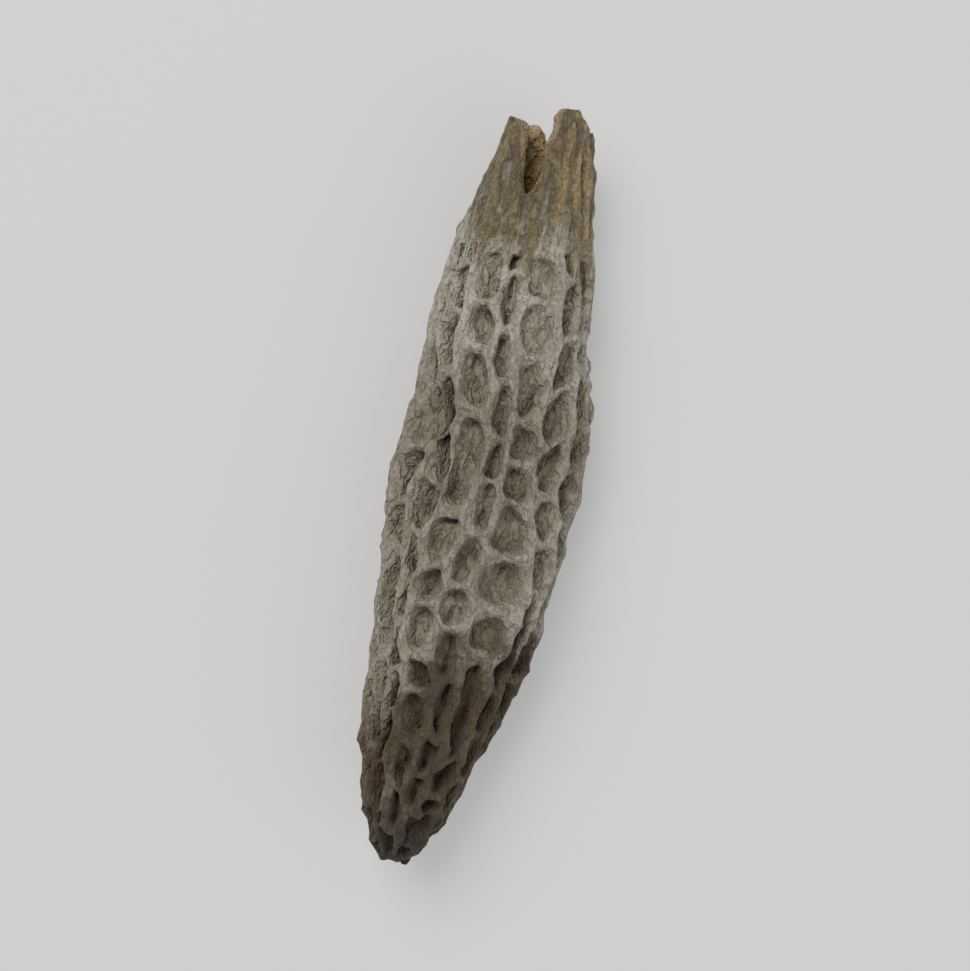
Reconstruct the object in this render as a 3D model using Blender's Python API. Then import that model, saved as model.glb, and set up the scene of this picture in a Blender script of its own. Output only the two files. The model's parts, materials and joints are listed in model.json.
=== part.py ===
"""A dried black morel, lying on its side.

One closed solid: a hollow cap with a raised net of ridges around its pits, and the hollow, furrowed
stub of its stem, torn open at the end. It lies along Y, the cap's tip at -Y and the stem at +Y, on the
small flats that its lowest ridges have. Units are metres, +Z is up and the floor is z = 0.
"""

import math
import random

import bmesh
import bpy
from mathutils import Matrix, Vector, noise

MM = 0.001

# Driving sizes
LENGTH = 35.7 * MM
CAP_LENGTH = 29.4 * MM
RIDGE_WIDTH = 0.28 * MM
PIT_DEPTH = 0.85 * MM
STEM_WALL = 0.85 * MM

# Distance from the tip, and half of the width over the ridges there
HALF_WIDTHS = (
    (0.0 * MM, 0.45 * MM),
    (0.9 * MM, 1.26 * MM),
    (2.6 * MM, 2.02 * MM),
    (5.2 * MM, 2.75 * MM),
    (9.0 * MM, 3.50 * MM),
    (13.0 * MM, 4.02 * MM),
    (17.0 * MM, 4.25 * MM),
    (21.5 * MM, 4.22 * MM),
    (25.5 * MM, 3.80 * MM),
    (29.4 * MM, 3.08 * MM),
)
STEM_HALF_WIDTHS = (
    (29.4 * MM, 3.08 * MM),
    (31.0 * MM, 2.70 * MM),
    (33.0 * MM, 2.35 * MM),
    (35.7 * MM, 1.75 * MM),
)
# Height over width: the cap dried a little flat, the stem more so
FLATNESS = ((0.0, 0.95), (15.0 * MM, 0.86), (29.4 * MM, 0.84), (35.7 * MM, 0.74))
# Sideways and upward run of the centre line
SIDE_BEND = (
    (0.0, 0.20 * MM),
    (4.0 * MM, 0.42 * MM),
    (9.0 * MM, 0.68 * MM),
    (14.0 * MM, 0.78 * MM),
    (20.0 * MM, 1.00 * MM),
    (24.5 * MM, 0.62 * MM),
    (29.0 * MM, 0.45 * MM),
    (35.7 * MM, 0.30 * MM),
)
RISE = ((0.0, 0.75 * MM), (12.0 * MM, 0.1 * MM), (20.0 * MM, 0.0 * MM), (35.7 * MM, 0.55 * MM))

# The hollow that runs from the torn end into the cap
HOLLOW_HALF_WIDTHS = (
    (9.0 * MM, 0.45 * MM),
    (12.0 * MM, 1.45 * MM),
    (20.0 * MM, 1.75 * MM),
    (29.4 * MM, 1.70 * MM),
    (35.7 * MM, 1.70 * MM),
)
HOLLOW_FLATNESS = 0.72
HOLLOW_END = 9.0 * MM
HOLLOW_RINGS = 7
HOLLOW_SPREAD = 1.5
# How thick the torn rim is, as a share of the hollow's length, and how much the hollow dried in
RIM_STEP = 0.004
HOLLOW_DRIED = 0.5

# The net: ribs run lengthwise, and rungs between them close the pits in a staggered order
SEED = 122
RIBS = 16
RINGS = 26
FIRST_RING = 0.25 * MM
SMALL_STEP = 0.15 * MM
RING_SPREAD = 1.15
RIB_SWAY = 0.22
RIB_SPREAD = 0.20
RIB_TWIST = 14
RING_SWAY = 0.34
STAGGER = 0.15
# How far the whole net sways round the cap and along it, and over what distances
RIB_WANDER = 13
RING_WANDER = 1.1 * MM
WANDER_ROUND = 1.4
WANDER_LENGTH = 5.5 * MM
OTHER_SLICE = 20
RUNG_DROP = 0.26 * MM
BASE_DROP = 0.32 * MM
# The net is calmer over this many rings nearest the tip, and its last ring keeps this much lift
CALM_RINGS = 6
LAST_LIFT = 0.3
MISSING_RUNGS = 0.07
# Every second rib ends this many rings from the tip, or one more
SHORT_RIBS_END = 2
CREST_SWAY = 0.22 * MM
SHOULDER_DROP = 0.13 * MM
WALL_RUN = 0.19 * MM
FLOOR_DIP = 0.12 * MM
# The most that a step takes of a pit's half size, a shoulder or wall of its width, and a wall of
# the cap's half width
STEP_LIMIT = 0.32
SHOULDER_LIMIT = 0.12
DEPTH_LIMIT = 0.75
ROOM_LIMIT = 0.35
# How far ridges and pits differ in width and depth, and over what distances
UNEVEN_WIDTH = 0.5
UNEVEN_DEPTH = 0.3
UNEVEN_FLOOR = 0.2
UNEVEN_LENGTH = 2.3 * MM
CREST_LENGTH = 1.7 * MM
CALM_LENGTH = 8 * MM
FLOOR_LENGTH = 1.1 * MM
# The pits run out towards the stem, over this distance and down to this share of their depth
RUN_OUT = 3.5 * MM
RUN_OUT_TO = 0.45
# How far a pit's corners are drawn in towards an oval
ROUNDING = 0.5
OVAL_REACH = 0.8
CAP_EDGE_SWAY = 1.5 * MM
CAP_EDGE_WAVES = 1.5
CAP_EDGE_SLICE = 0.5

# How drying moved the skin: lumps all over, then each crease, dent or fold as its angle round the
# cap and its spread in degrees, its distance from the tip, its reach along the cap, its depth, and
# how many degrees it slants round the cap over a millimetre
LUMP_HEIGHT = 0.55 * MM
LUMP_LENGTH = 7.5 * MM
LUMPS_ROUND = 1.3
LUMPS_FADE = 3 * MM
HOLLOWED = (
    (146, 22, 20.4 * MM, 5.5 * MM, 1.00 * MM, 7.0),
    (80, 40, 19.6 * MM, 2.6 * MM, 0.60 * MM, 0.0),
    (318, 34, 16.0 * MM, 9.0 * MM, 0.55 * MM, 0.0),
)

# The stem
STEM_RINGS = 6
LIP_STEP = 0.45 * MM
FURROW_DEPTH = 0.38 * MM
FURROW_FADE = 0.4
FURROW_WANDER = 5
FURROW_LENGTH = 9 * MM
STEM_LUMPS = 0.25 * MM
STEM_LUMP_LENGTH = 4 * MM

# Where the torn end is shorter than LENGTH: angle round the stem in degrees, 90 on top
RIM_DROPS = (
    (0, 0.9 * MM),
    (20, 0.4 * MM),
    (38, 0.0 * MM),
    (55, 0.05 * MM),
    (70, 0.8 * MM),
    (90, 4.1 * MM),
    (104, 4.2 * MM),
    (129, 1.3 * MM),
    (150, 0.95 * MM),
    (180, 1.3 * MM),
    (215, 1.7 * MM),
    (250, 0.9 * MM),
    (285, 1.6 * MM),
    (325, 0.7 * MM),
    (360, 0.9 * MM),
)

# The side that it dried on is pressed flatter, and its lowest ridges are flat
PRESSED_BELOW = 1.5 * MM
PRESSED_TO = 0.55
FLAT_CUT = 0.22 * MM

SMOOTH_ANGLE = 50
CAP_COLOUR = (0.105, 0.080, 0.053, 1.0)
CAP_ROUGHNESS = 0.85


def curve_through(points, at):
    """The value at a place on a smooth curve through (place, value) points."""
    last = len(points) - 1
    at = min(max(at, points[0][0]), points[last][0])
    i = 0
    while i < last - 1 and points[i + 1][0] < at:
        i += 1

    def slope(j):
        low, high = max(j - 1, 0), min(j + 1, last)
        return (points[high][1] - points[low][1]) / (points[high][0] - points[low][0])

    (x0, y0), (x1, y1) = points[i], points[i + 1]
    span = x1 - x0
    u = (at - x0) / span
    ease = u * u * (3 - 2 * u)
    lead = u * (1 - u) * (1 - u) * slope(i) - u * u * (1 - u) * slope(i + 1)
    return y0 + (y1 - y0) * ease + span * lead


def bump(distance, reach):
    """1 at no distance, falling smoothly to 0 at reach."""
    u = min(abs(distance) / reach, 1.0)
    return (1 - u * u) ** 2


def angle_between(a, b):
    """Degrees from b to a, from -180 to 180."""
    return (a - b + 180) % 360 - 180


def section(t):
    """The centre, half width and half height of the plain form at distance t from the tip."""
    middle = Vector((curve_through(SIDE_BEND, t), t, curve_through(RISE, t)))
    half_width = curve_through(HALF_WIDTHS if t <= CAP_LENGTH else STEM_HALF_WIDTHS, t)
    return middle, half_width, half_width * curve_through(FLATNESS, t)


def on_oval(t, theta, half_width, half_height):
    """A point on an oval round the centre line."""
    return section(t)[0] + Vector((half_width * math.cos(theta), 0, half_height * math.sin(theta)))


def on_form(t, theta):
    """A point of the plain form's skin."""
    return on_oval(t, theta, *section(t)[1:])


def inward(point):
    """The direction into the plain form, square to its skin, at a point of the cap."""
    middle, half_width, half_height = section(point.y)
    theta = math.atan2((point.z - middle.z) / half_height, (point.x - middle.x) / half_width)
    ahead = on_form(point.y + SMALL_STEP, theta)
    behind = on_form(max(point.y - SMALL_STEP, 0.0), theta)
    around = Vector((-half_width * math.sin(theta), 0, half_height * math.cos(theta)))
    return around.cross(ahead - behind).normalized()


def dried(point, share=1.0):
    """Where drying moves a point of the plain form: broad lumps, one long crease, a dent and a fold."""
    middle, half_width, _ = section(point.y)
    out = (point - middle).normalized()
    degrees = math.degrees(math.atan2(out.z, out.x))
    lumps = noise.noise(Vector((LUMPS_ROUND * out.x, LUMPS_ROUND * out.z, point.y / LUMP_LENGTH)))
    move = LUMP_HEIGHT * lumps * min(1.0, half_width / LUMPS_FADE)
    for angle, spread, t, reach, depth, slant in HOLLOWED:
        past = point.y - t
        turned = angle_between(degrees, angle + slant * past / MM)
        move -= depth * bump(turned, spread) * bump(past, reach)
    return point + out * move * share


def round_noise(theta, waves, along):
    """Smooth noise from -1 to 1 that closes on itself round the mushroom."""
    return noise.noise(Vector((waves * math.cos(theta), waves * math.sin(theta), along)))


def cap_end(theta):
    """How far from the tip the cap's wavy lower edge is."""
    return CAP_LENGTH - CAP_EDGE_SWAY * abs(round_noise(theta, CAP_EDGE_WAVES, CAP_EDGE_SLICE))


def cap_net():
    """Places of the lattice: for each ring its points, two to a rib, alternately on it and beside it."""
    draw = random.Random(SEED)
    columns = 2 * RIBS
    shifts = [2 * draw.uniform(-1, 1) * RIB_SPREAD for _ in range(RIBS)]
    step = (CAP_LENGTH - FIRST_RING) / RINGS
    rings = []
    for k in range(RINGS + 1):
        share = k / RINGS
        keep = min(1.0, (k + 1) / CALM_RINGS)
        ring = []
        for i in range(columns):
            sway = draw.uniform(-1, 1) * RIB_SWAY + (shifts[i // 2] + shifts[(i + 1) // 2 % RIBS]) / 2
            lift = draw.uniform(-1, 1) * RING_SWAY * step
            if i % 2 == 0:
                sway += STAGGER if (k + i // 2) % 2 == 0 else -STAGGER
            if k == RINGS:
                lift *= LAST_LIFT
            theta = 2 * math.pi * (i + sway * keep) / columns + math.radians(RIB_TWIST) * share
            level = FIRST_RING + (cap_end(theta) - FIRST_RING) * share**RING_SPREAD
            inside = keep * min(1.0, (RINGS - k) / CALM_RINGS)
            along = round_noise(theta, WANDER_ROUND, level / WANDER_LENGTH + OTHER_SLICE)
            level += lift * keep + RING_WANDER * inside * along
            around = round_noise(theta, WANDER_ROUND, level / WANDER_LENGTH)
            theta += math.radians(RIB_WANDER) * inside * around
            place = on_form(max(level, FIRST_RING / 2), theta)
            if i % 2 == 1:
                place += inward(place) * (BASE_DROP if k == RINGS else RUNG_DROP * keep)
            ring.append(place)
        rings.append(ring)
    return rings


def grow_ring(bm, ring, places):
    """Extrudes a closed ring of vertices to new places, and returns the new ring in the same order."""
    edges = [bm.edges.get(pair) for pair in zip(ring, ring[1:] + ring[:1])]
    made = bmesh.ops.extrude_edge_only(bm, edges=edges)["geom"]
    copies = {item.co.to_tuple(): item for item in made if isinstance(item, bmesh.types.BMVert)}
    grown = [copies[vertex.co.to_tuple()] for vertex in ring]
    for vertex, place in zip(grown, places):
        vertex.co = place
    return grown


def lattice(bm):
    """Grows the cap's rings from a small disc at the tip. Returns them, and the disc's face."""
    places = cap_net()
    circle = bmesh.ops.create_circle(bm, cap_ends=True, segments=2 * RIBS, radius=FIRST_RING)
    rings = [circle["verts"]]
    for vertex, place in zip(rings[0], places[0]):
        vertex.co = place
    for ring in places[1:]:
        rings.append(grow_ring(bm, rings[-1], ring))
    (tip,) = [face for face in bm.faces if len(face.verts) == 2 * RIBS]
    return rings, tip


def open_pits(bm, rings):
    """Joins the lattice's quads into pits, by dissolving what is not a rib or a rung."""
    draw = random.Random(SEED + 1)
    columns = 2 * RIBS
    ends = [SHORT_RIBS_END + draw.randrange(2) for _ in range(RIBS // 2)]
    gone = []
    for k in range(RINGS):
        for column in range(RIBS):
            gone.append((rings[k][2 * column + 1], rings[k + 1][2 * column + 1]))
            if column % 2 == 1 and k < ends[column // 2]:
                gone.append((rings[k][2 * column], rings[k + 1][2 * column]))
    for column in range(RIBS):
        short = column if column % 2 == 1 else column + 1
        end = ends[short // 2]
        last_open = 0
        for k in range(1, RINGS):
            if k < end:
                stays = (end - k) % 2 == 0
            else:
                stays = k == end or (k + column) % 2 == 0
            if stays and k > end + 2 and k - last_open > 4 and draw.random() < MISSING_RUNGS:
                last_open = k
                stays = False
            if not stays:
                middle = rings[k][2 * column + 1]
                gone.append((rings[k][2 * column], middle))
                gone.append((middle, rings[k][(2 * column + 2) % columns]))
    edges = [bm.edges.get(pair) for pair in gone]
    bmesh.ops.dissolve_edges(bm, edges=edges, use_verts=False, use_face_split=False)


def pit_frame(pit):
    """A frame at the pit's middle (x across, y along, z inward) and half of the pit's size in x and y."""
    centre = pit.calc_center_median()
    down = inward(centre)
    across = Vector((0, 1, 0)).cross(down).normalized()
    frame = Matrix((across, down.cross(across), down)).transposed().to_4x4()
    frame.translation = centre
    places = [frame.inverted() @ vertex.co for vertex in pit.verts]
    lows = [min(place[axis] for place in places) for axis in (0, 1)]
    highs = [max(place[axis] for place in places) for axis in (0, 1)]
    half = [(high - low) / 2 for low, high in zip(lows, highs)]
    frame.translation = frame @ Vector(((lows[0] + highs[0]) / 2, (lows[1] + highs[1]) / 2, 0))
    return frame, half


def step_in(bm, pit, frame, half, width):
    """Insets the pit: its outline is scaled down in its own frame, which leaves a rim of the width."""
    bmesh.ops.inset_individual(bm, faces=[pit], thickness=0.0)
    scale = [1 - min(width / side, STEP_LIMIT) for side in half]
    bmesh.ops.scale(bm, vec=(*scale, 1), space=frame.inverted(), verts=pit.verts)


def sink_pits(bm, tip):
    """Leaves the ridges between the pits standing, and sinks a shoulder, a wall and a floor in each."""
    pits = [face for face in bm.faces if face != tip]
    for vertex in {v for face in pits for v in face.verts}:
        calm = min(1.0, vertex.co.y / CALM_LENGTH)
        vertex.co += inward(vertex.co) * CREST_SWAY * calm * noise.noise(vertex.co / CREST_LENGTH)
    for pit in pits:
        frame, half = pit_frame(pit)
        span = 2 * min(half)
        uneven = noise.noise(frame.translation / UNEVEN_LENGTH)
        step_in(bm, pit, frame, half, RIDGE_WIDTH / 2 * (1 + UNEVEN_WIDTH * uneven))
        for vertex in pit.verts:
            place = frame.inverted() @ vertex.co
            reach = math.hypot(place.x / half[0], place.y / half[1])
            pull = (max(reach, OVAL_REACH) / OVAL_REACH) ** -ROUNDING
            vertex.co = frame @ Vector((place.x * pull, place.y * pull, place.z))
            vertex.co += inward(vertex.co) * min(SHOULDER_DROP, SHOULDER_LIMIT * span)
        room = section(frame.translation.y)[1]
        depth = min(PIT_DEPTH, DEPTH_LIMIT * span, ROOM_LIMIT * room) * (1 + UNEVEN_DEPTH * uneven)
        step_in(bm, pit, frame, half, WALL_RUN)
        for vertex in pit.verts:
            share = 1 - (1 - RUN_OUT_TO) * bump(vertex.co.y - CAP_LENGTH, RUN_OUT)
            share *= 1 - UNEVEN_FLOOR * (1 - noise.noise(vertex.co / FLOOR_LENGTH))
            vertex.co += inward(vertex.co) * depth * share
    made = bmesh.ops.poke(bm, faces=pits)
    for vertex in made["verts"]:
        vertex.co += inward(vertex.co) * FLOOR_DIP
    for vertex in bm.verts:
        vertex.co = dried(vertex.co)


def torn_end(theta):
    """How far from the tip the torn rim is."""
    return LENGTH - curve_through(RIM_DROPS, math.degrees(theta) % 360)


def stem_point(share, theta):
    """A point of the stem's skin, share of the way to its end. The furrows go on from the cap's ribs."""
    start = cap_end(theta) + LIP_STEP
    t = start + (torn_end(theta) - start) * share
    half_width, half_height = section(max(t, CAP_LENGTH + SMALL_STEP))[1:]
    wander = FURROW_WANDER * share * round_noise(theta, 1, t / FURROW_LENGTH)
    furrow = (0.5 - 0.5 * math.cos(RIBS * (theta - math.radians(RIB_TWIST)) + wander)) ** 2
    out = STEM_LUMPS * round_noise(theta, 2, t / STEM_LUMP_LENGTH)
    out -= FURROW_DEPTH * (1 - FURROW_FADE * share) * furrow
    return dried(on_oval(t, theta, half_width + out, half_height + out))


def hollow_point(share, theta):
    """A point of the hollow's wall, share of the way from the torn end to its blind end."""
    rim = torn_end(theta)
    t = rim + (HOLLOW_END - rim) * share
    half_width = curve_through(HOLLOW_HALF_WIDTHS, t)
    if t > CAP_LENGTH:
        half_width = min(half_width, section(t)[1] - STEM_WALL)
    return dried(on_oval(t, theta, half_width, half_width * HOLLOW_FLATNESS), HOLLOW_DRIED)


def open_rim(bm, first, towards):
    """The open rim's vertices in order, from the one at first by way of the one at towards."""
    rim = {vertex for edge in bm.edges if edge.is_boundary for vertex in edge.verts}
    ring = [min(rim, key=lambda vertex: (vertex.co - place).length) for place in (first, towards)]
    while len(ring) < len(rim):
        beside = [edge.other_vert(ring[-1]) for edge in ring[-1].link_edges if edge.is_boundary]
        ring.append(beside[1] if beside[0] == ring[-2] else beside[0])
    return ring


def add_stem(bm, base):
    """Grows the stem from the cap's last ring, turns in at the torn rim, and runs the hollow back."""
    first, towards = base[0].co.copy(), base[0].co.lerp(base[1].co, 0.5)
    around = [bm.edges.get(pair) for pair in zip(base, base[1:] + base[:1])]
    bmesh.ops.subdivide_edges(bm, edges=around, cuts=1)
    ring = open_rim(bm, first, towards)
    angles = [math.radians(RIB_TWIST) + 2 * math.pi * i / len(ring) for i in range(len(ring))]
    for k in range(STEM_RINGS + 1):
        ring = grow_ring(bm, ring, [stem_point(k / STEM_RINGS, a) for a in angles])
    for k in range(HOLLOW_RINGS + 1):
        share = RIM_STEP + (1 - RIM_STEP) * (k / HOLLOW_RINGS) ** HOLLOW_SPREAD
        ring = grow_ring(bm, ring, [hollow_point(share, a) for a in angles])
    bmesh.ops.contextual_create(bm, geom=[bm.edges.get(pair) for pair in zip(ring, ring[1:] + ring[:1])])


def settle(bm):
    """Centres the body, presses its underside flatter and stands its lowest ridges just under z = 0."""
    lowest = min(vertex.co.z for vertex in bm.verts)
    for vertex in bm.verts:
        height = vertex.co.z - lowest
        if height < PRESSED_BELOW:
            vertex.co.z += (PRESSED_BELOW - height) * (1 - PRESSED_TO)
    lows = [min(vertex.co[axis] for vertex in bm.verts) for axis in range(3)]
    highs = [max(vertex.co[axis] for vertex in bm.verts) for axis in range(3)]
    middle = Vector(((lows[0] + highs[0]) / 2, (lows[1] + highs[1]) / 2, lows[2] + FLAT_CUT))
    bmesh.ops.translate(bm, verts=bm.verts, vec=-middle)


def make_morel():
    """The whole mushroom as one object."""
    bm = bmesh.new()
    rings, tip = lattice(bm)
    open_pits(bm, rings)
    base = rings[-1]
    sink_pits(bm, tip)
    bmesh.ops.poke(bm, faces=[tip])
    add_stem(bm, base)
    bmesh.ops.recalc_face_normals(bm, faces=bm.faces)
    settle(bm)
    mesh = bpy.data.meshes.new("morel")
    bm.to_mesh(mesh)
    bm.free()
    mesh.shade_smooth()
    mesh.set_sharp_from_angle(angle=math.radians(SMOOTH_ANGLE))
    morel = bpy.data.objects.new("morel", mesh)
    bpy.context.scene.collection.objects.link(morel)
    return morel


def cut_flats(morel):
    """Takes off what reaches below z = 0, which leaves the small flats that the morel lies on."""
    bm = bmesh.new()
    bmesh.ops.create_cube(bm, size=2 * LENGTH)
    bmesh.ops.translate(bm, verts=bm.verts, vec=(0, 0, -LENGTH))
    mesh = bpy.data.meshes.new("floor_cutter")
    bm.to_mesh(mesh)
    bm.free()
    cutter = bpy.data.objects.new("floor_cutter", mesh)
    bpy.context.scene.collection.objects.link(cutter)
    cutter.hide_render = True
    cutter.display_type = "WIRE"
    cut = morel.modifiers.new("flats", "BOOLEAN")
    cut.operation = "DIFFERENCE"
    cut.solver = "EXACT"
    cut.object = cutter


def dried_skin():
    """The dull brown of dried mushroom."""
    material = bpy.data.materials.new("dried_skin")
    material.use_nodes = True
    shader = material.node_tree.nodes["Principled BSDF"]
    shader.inputs["Base Color"].default_value = CAP_COLOUR
    shader.inputs["Roughness"].default_value = CAP_ROUGHNESS
    shader.inputs["Metallic"].default_value = 0.0
    return material


def main():
    for item in list(bpy.data.objects):
        bpy.data.objects.remove(item)
    morel = make_morel()
    morel.data.materials.append(dried_skin())
    cut_flats(morel)


main()
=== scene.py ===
# %% [markdown]
# # A dried morel, lying on a table
#
# A morel is a mushroom with a hollow, conical cap. Raised ribs run down the cap and short rungs
# join them, which leaves deep pits between. Drying shrinks it to a hard, wrinkled, papery thing as
# light as a dead leaf. The stem was cut and its end has torn open.
#
# This script builds the mushroom's fine surface over a plain solid of the same form, paints it with
# procedural materials, and sets up a camera and soft light. Each step is a cell of its own.

import json
import math
import random

import bmesh
import bpy
from mathutils import Matrix, Vector, noise

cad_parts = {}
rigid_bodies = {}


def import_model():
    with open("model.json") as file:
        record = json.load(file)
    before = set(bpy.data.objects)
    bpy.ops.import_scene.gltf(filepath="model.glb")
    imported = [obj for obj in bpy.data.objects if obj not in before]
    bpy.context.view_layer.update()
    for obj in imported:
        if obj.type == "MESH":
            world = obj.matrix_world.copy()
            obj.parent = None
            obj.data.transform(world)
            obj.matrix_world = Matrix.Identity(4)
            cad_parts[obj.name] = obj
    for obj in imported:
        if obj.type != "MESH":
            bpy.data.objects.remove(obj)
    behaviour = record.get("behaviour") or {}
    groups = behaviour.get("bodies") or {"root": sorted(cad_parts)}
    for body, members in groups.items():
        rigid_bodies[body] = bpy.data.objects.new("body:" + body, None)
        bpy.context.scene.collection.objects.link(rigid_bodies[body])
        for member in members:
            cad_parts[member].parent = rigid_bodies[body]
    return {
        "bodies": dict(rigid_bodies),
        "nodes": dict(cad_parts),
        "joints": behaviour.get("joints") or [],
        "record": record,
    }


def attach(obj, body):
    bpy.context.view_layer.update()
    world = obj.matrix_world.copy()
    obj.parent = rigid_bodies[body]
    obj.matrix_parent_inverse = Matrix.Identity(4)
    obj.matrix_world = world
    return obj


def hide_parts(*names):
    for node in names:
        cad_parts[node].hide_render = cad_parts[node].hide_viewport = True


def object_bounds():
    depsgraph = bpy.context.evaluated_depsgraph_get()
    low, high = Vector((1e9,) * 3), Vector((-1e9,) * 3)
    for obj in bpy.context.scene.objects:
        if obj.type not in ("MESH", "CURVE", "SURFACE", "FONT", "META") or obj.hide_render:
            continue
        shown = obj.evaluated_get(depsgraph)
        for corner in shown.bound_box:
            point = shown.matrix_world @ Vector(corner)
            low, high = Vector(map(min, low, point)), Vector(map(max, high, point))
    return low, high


for thing in list(bpy.data.objects):
    bpy.data.objects.remove(thing)
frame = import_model()
solid_box = [list(corner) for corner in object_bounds()]
print("the frame's nodes:", ", ".join(frame["nodes"]))

# %% [markdown]
# ## Sizes
#
# Everything is in metres, so a millimetre is named once and used everywhere. The tables give the
# mushroom's outline as a few measured places: the distance from the tip of the cap, then half of the
# width there. A smooth curve through a short table is easier to correct than a long list of points.

# %% The mushroom's own measures
MM = 0.001


def in_mm(box):
    """A box's corners in millimetres, rounded to be read."""
    return [[round(side / MM, 1) for side in corner] for corner in box]


print("the solid's box in mm:", in_mm(solid_box))

LENGTH = 35.7 * MM
CAP_LENGTH = 29.4 * MM
RIDGE_WIDTH = 0.28 * MM
PIT_DEPTH = 0.85 * MM
STEM_WALL = 0.85 * MM

HALF_WIDTHS = (
    (0.0 * MM, 0.45 * MM),
    (0.9 * MM, 1.26 * MM),
    (2.6 * MM, 2.02 * MM),
    (5.2 * MM, 2.75 * MM),
    (9.0 * MM, 3.50 * MM),
    (13.0 * MM, 4.02 * MM),
    (17.0 * MM, 4.25 * MM),
    (21.5 * MM, 4.22 * MM),
    (25.5 * MM, 3.80 * MM),
    (29.4 * MM, 3.08 * MM),
)
STEM_HALF_WIDTHS = (
    (29.4 * MM, 3.08 * MM),
    (31.0 * MM, 2.70 * MM),
    (33.0 * MM, 2.35 * MM),
    (35.7 * MM, 1.75 * MM),
)
FLATNESS = ((0.0, 0.95), (15.0 * MM, 0.86), (29.4 * MM, 0.84), (35.7 * MM, 0.74))
SIDE_BEND = (
    (0.0, 0.20 * MM),
    (4.0 * MM, 0.42 * MM),
    (9.0 * MM, 0.68 * MM),
    (14.0 * MM, 0.78 * MM),
    (20.0 * MM, 1.00 * MM),
    (24.5 * MM, 0.62 * MM),
    (29.0 * MM, 0.45 * MM),
    (35.7 * MM, 0.30 * MM),
)
RISE = ((0.0, 0.75 * MM), (12.0 * MM, 0.1 * MM), (20.0 * MM, 0.0 * MM), (35.7 * MM, 0.55 * MM))
print("the mushroom is", round(LENGTH / MM, 1), "mm long, its cap", round(CAP_LENGTH / MM, 1), "mm")

# %% [markdown]
# ## The plain form
#
# Before it has any net, the cap is a bent, slightly flat cone. A point on it is found from two
# numbers: how far it is from the tip, and the angle round the mushroom. The smooth curve between
# two places of a table is a Hermite curve, which passes through each place with no kink.

# %% The plain form
def curve_through(points, at):
    """The value at a place on a smooth curve through (place, value) points."""
    last = len(points) - 1
    at = min(max(at, points[0][0]), points[last][0])
    i = 0
    while i < last - 1 and points[i + 1][0] < at:
        i += 1

    def slope(j):
        low, high = max(j - 1, 0), min(j + 1, last)
        return (points[high][1] - points[low][1]) / (points[high][0] - points[low][0])

    (x0, y0), (x1, y1) = points[i], points[i + 1]
    span = x1 - x0
    u = (at - x0) / span
    ease = u * u * (3 - 2 * u)
    lead = u * (1 - u) * (1 - u) * slope(i) - u * u * (1 - u) * slope(i + 1)
    return y0 + (y1 - y0) * ease + span * lead


def section(t):
    """The centre, half width and half height of the plain form at distance t from the tip."""
    middle = Vector((curve_through(SIDE_BEND, t), t, curve_through(RISE, t)))
    half_width = curve_through(HALF_WIDTHS if t <= CAP_LENGTH else STEM_HALF_WIDTHS, t)
    return middle, half_width, half_width * curve_through(FLATNESS, t)


def on_oval(t, theta, half_width, half_height):
    """A point on an oval round the centre line."""
    return section(t)[0] + Vector((half_width * math.cos(theta), 0, half_height * math.sin(theta)))


def on_form(t, theta):
    """A point of the plain form's skin."""
    return on_oval(t, theta, *section(t)[1:])


SMALL_STEP = 0.15 * MM


def inward(point):
    """The direction into the plain form, square to its skin, at a point of the cap."""
    middle, half_width, half_height = section(point.y)
    theta = math.atan2((point.z - middle.z) / half_height, (point.x - middle.x) / half_width)
    ahead = on_form(point.y + SMALL_STEP, theta)
    behind = on_form(max(point.y - SMALL_STEP, 0.0), theta)
    around = Vector((-half_width * math.sin(theta), 0, half_height * math.cos(theta)))
    return around.cross(ahead - behind).normalized()


print("greatest width", round(2 * section(18.5 * MM)[1] / MM, 1), "mm")

# %% [markdown]
# ## How drying moved it
#
# A fresh morel is full and round. This one shrank as it dried: broad lumps all over, a long crease
# on the left of its top, a dent beside it and a fold low on the right. Moving points of the finished
# net in or out from the centre line keeps the ridges and pits whole, and lets them follow the lumps.

# %% Lumps, the crease, the dent and the fold
LUMP_HEIGHT = 0.55 * MM
LUMP_LENGTH = 7.5 * MM
LUMPS_ROUND = 1.3
LUMPS_FADE = 3 * MM
# Each one's angle and spread in degrees, distance from the tip, reach along the cap, depth, and how
# many degrees it slants round the cap over a millimetre
HOLLOWED = (
    (146, 22, 20.4 * MM, 5.5 * MM, 1.00 * MM, 7.0),
    (80, 40, 19.6 * MM, 2.6 * MM, 0.60 * MM, 0.0),
    (318, 34, 16.0 * MM, 9.0 * MM, 0.55 * MM, 0.0),
)


def bump(distance, reach):
    """1 at no distance, falling smoothly to 0 at reach."""
    u = min(abs(distance) / reach, 1.0)
    return (1 - u * u) ** 2


def angle_between(a, b):
    """Degrees from b to a, from -180 to 180."""
    return (a - b + 180) % 360 - 180


def dried(point, share=1.0):
    """Where drying moves a point of the plain form."""
    middle, half_width, _ = section(point.y)
    out = (point - middle).normalized()
    degrees = math.degrees(math.atan2(out.z, out.x))
    lumps = noise.noise(Vector((LUMPS_ROUND * out.x, LUMPS_ROUND * out.z, point.y / LUMP_LENGTH)))
    move = LUMP_HEIGHT * lumps * min(1.0, half_width / LUMPS_FADE)
    for angle, spread, t, reach, depth, slant in HOLLOWED:
        past = point.y - t
        turned = angle_between(degrees, angle + slant * past / MM)
        move -= depth * bump(turned, spread) * bump(past, reach)
    return point + out * move * share


def beside_crease(point):
    """Degrees round the cap from the long crease's slanting line to a point."""
    angle, _, t, _, _, slant = HOLLOWED[0]
    out = point - section(point.y)[0]
    return angle_between(math.degrees(math.atan2(out.z, out.x)), angle + slant * (point.y - t) / MM)


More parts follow.
